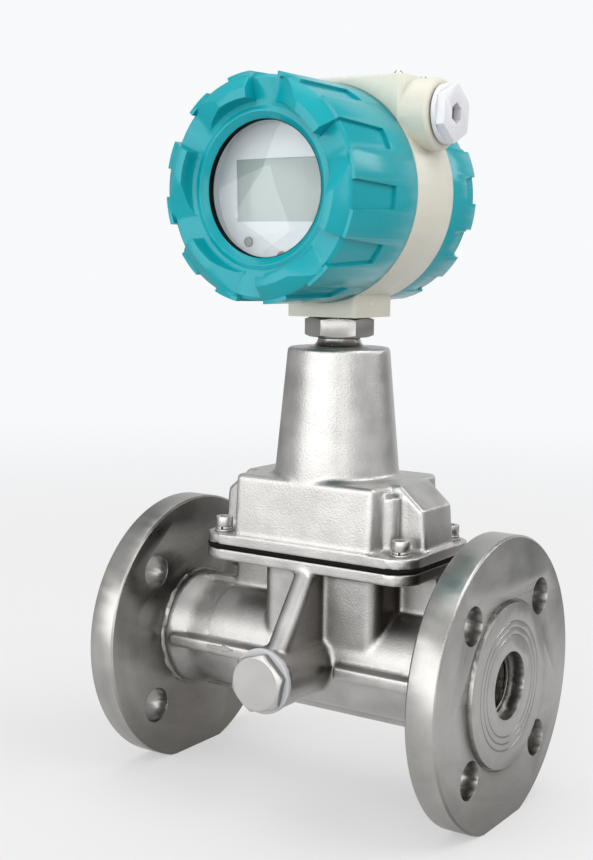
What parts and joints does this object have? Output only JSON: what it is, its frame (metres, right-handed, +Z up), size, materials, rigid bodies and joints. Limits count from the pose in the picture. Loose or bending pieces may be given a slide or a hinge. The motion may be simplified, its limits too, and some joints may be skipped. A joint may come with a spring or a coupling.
{
  "type": "vortex flow meter",
  "caption": "Flanged swirl vortex gas flow meter: cast flow tube with sensor cover and neck, carrying a turning round transmitter head with a display window.",
  "frame": {"origin": "middle of the inlet flange's raised face, on the flow axis", "axes": "+X along the flow to the outlet, +Z up along the neck, -Y towards the display window"},
  "size_m": [0.2, 0.1452, 0.348],
  "materials": {
    "machined_steel": "turned stainless steel with fine tool marks",
    "cast_steel": "bead-blasted cast stainless steel",
    "spring_steel": "bright spring steel",
    "bright_steel": "bright stainless fasteners",
    "white_seal": "white sealing plastic",
    "black_rubber": "black rubber",
    "cream_paint": "die-cast, cream paint, semi-gloss",
    "teal_paint": "die-cast, teal paint, semi-gloss",
    "black_metal": "black anodised",
    "window_glass": "clear toughened glass",
    "white_plastic": "white moulded plastic",
    "face_plate": "white face film",
    "lcd_grey": "grey-green display, off",
    "board_green": "green circuit board",
    "black_plastic": "black moulded plastic",
    "bare_plate": "bare metal plate",
    "key_grey": "grey keys"
  },
  "bodies": {
    "base": {"inlet_flange": "machined_steel", "outlet_flange": "machined_steel", "meter_body": "cast_steel", "inlet_swirler": "machined_steel", "inlet_retaining_ring": "spring_steel", "flow_straightener": "machined_steel", "outlet_retaining_ring": "spring_steel", "vortex_probe": "machined_steel", "probe_clamp": "machined_steel", "clamp_screws": "bright_steel", "temperature_probe": "machined_steel", "pressure_sensor": "machined_steel", "side_plug": "machined_steel", "plug_washer": "white_seal", "cover_gasket": "black_rubber", "sensor_cover": "cast_steel", "flat_washers": "bright_steel", "spring_washers": "bright_steel", "cover_screws": "bright_steel", "stem_tube": "machined_steel", "stem_backing_nut": "bright_steel", "stem_lock_nut": "bright_steel"},
    "head": {"head_housing": "cream_paint", "front_o_ring": "black_rubber", "back_o_ring": "black_rubber", "display_module": "white_plastic", "display_face_plate": "face_plate", "lcd_panel": "lcd_grey", "circuit_board": "board_green", "board_posts": "bright_steel", "terminal_block": "black_plastic", "terminal_screws": "bright_steel", "name_plate": "bare_plate", "name_plate_rivets": "bright_steel", "conduit_plug_right": "white_plastic", "conduit_seal_right": "black_rubber", "conduit_plug_left": "white_plastic", "conduit_seal_left": "black_rubber"},
    "front_lid": {"front_cover": "teal_paint", "window_gasket": "black_rubber", "window_glass": "window_glass", "window_clamp_ring": "black_metal"},
    "back_lid": {"back_cover": "teal_paint"},
    "key_1": {"key_1": "key_grey"},
    "key_2": {"key_2": "key_grey"},
    "key_3": {"key_3": "key_grey"}
  },
  "joints": [
    {"name": "head_swivel", "type": "hinge", "parent": "base", "child": "head", "pos_m": [0.1033, 0, 0.22625], "axis": [0, 0, 1], "range_deg": [-175, 175]},
    {"name": "front_cover_slide", "type": "slide", "parent": "head", "child": "front_lid", "axis": [0, -1, 0], "range_m": [0, 0.045]},
    {"name": "back_cover_slide", "type": "slide", "parent": "head", "child": "back_lid", "axis": [0, 1, 0], "range_m": [0, 0.035]},
    {"name": "key_1_press", "type": "slide", "parent": "head", "child": "key_1", "axis": [0, 1, 0], "range_m": [0, 0.0005], "stiffness_N_per_m": 1500},
    {"name": "key_2_press", "type": "slide", "parent": "head", "child": "key_2", "axis": [0, 1, 0], "range_m": [0, 0.0005], "stiffness_N_per_m": 1500},
    {"name": "key_3_press", "type": "slide", "parent": "head", "child": "key_3", "axis": [0, 1, 0], "range_m": [0, 0.0005], "stiffness_N_per_m": 1500}
  ]
}
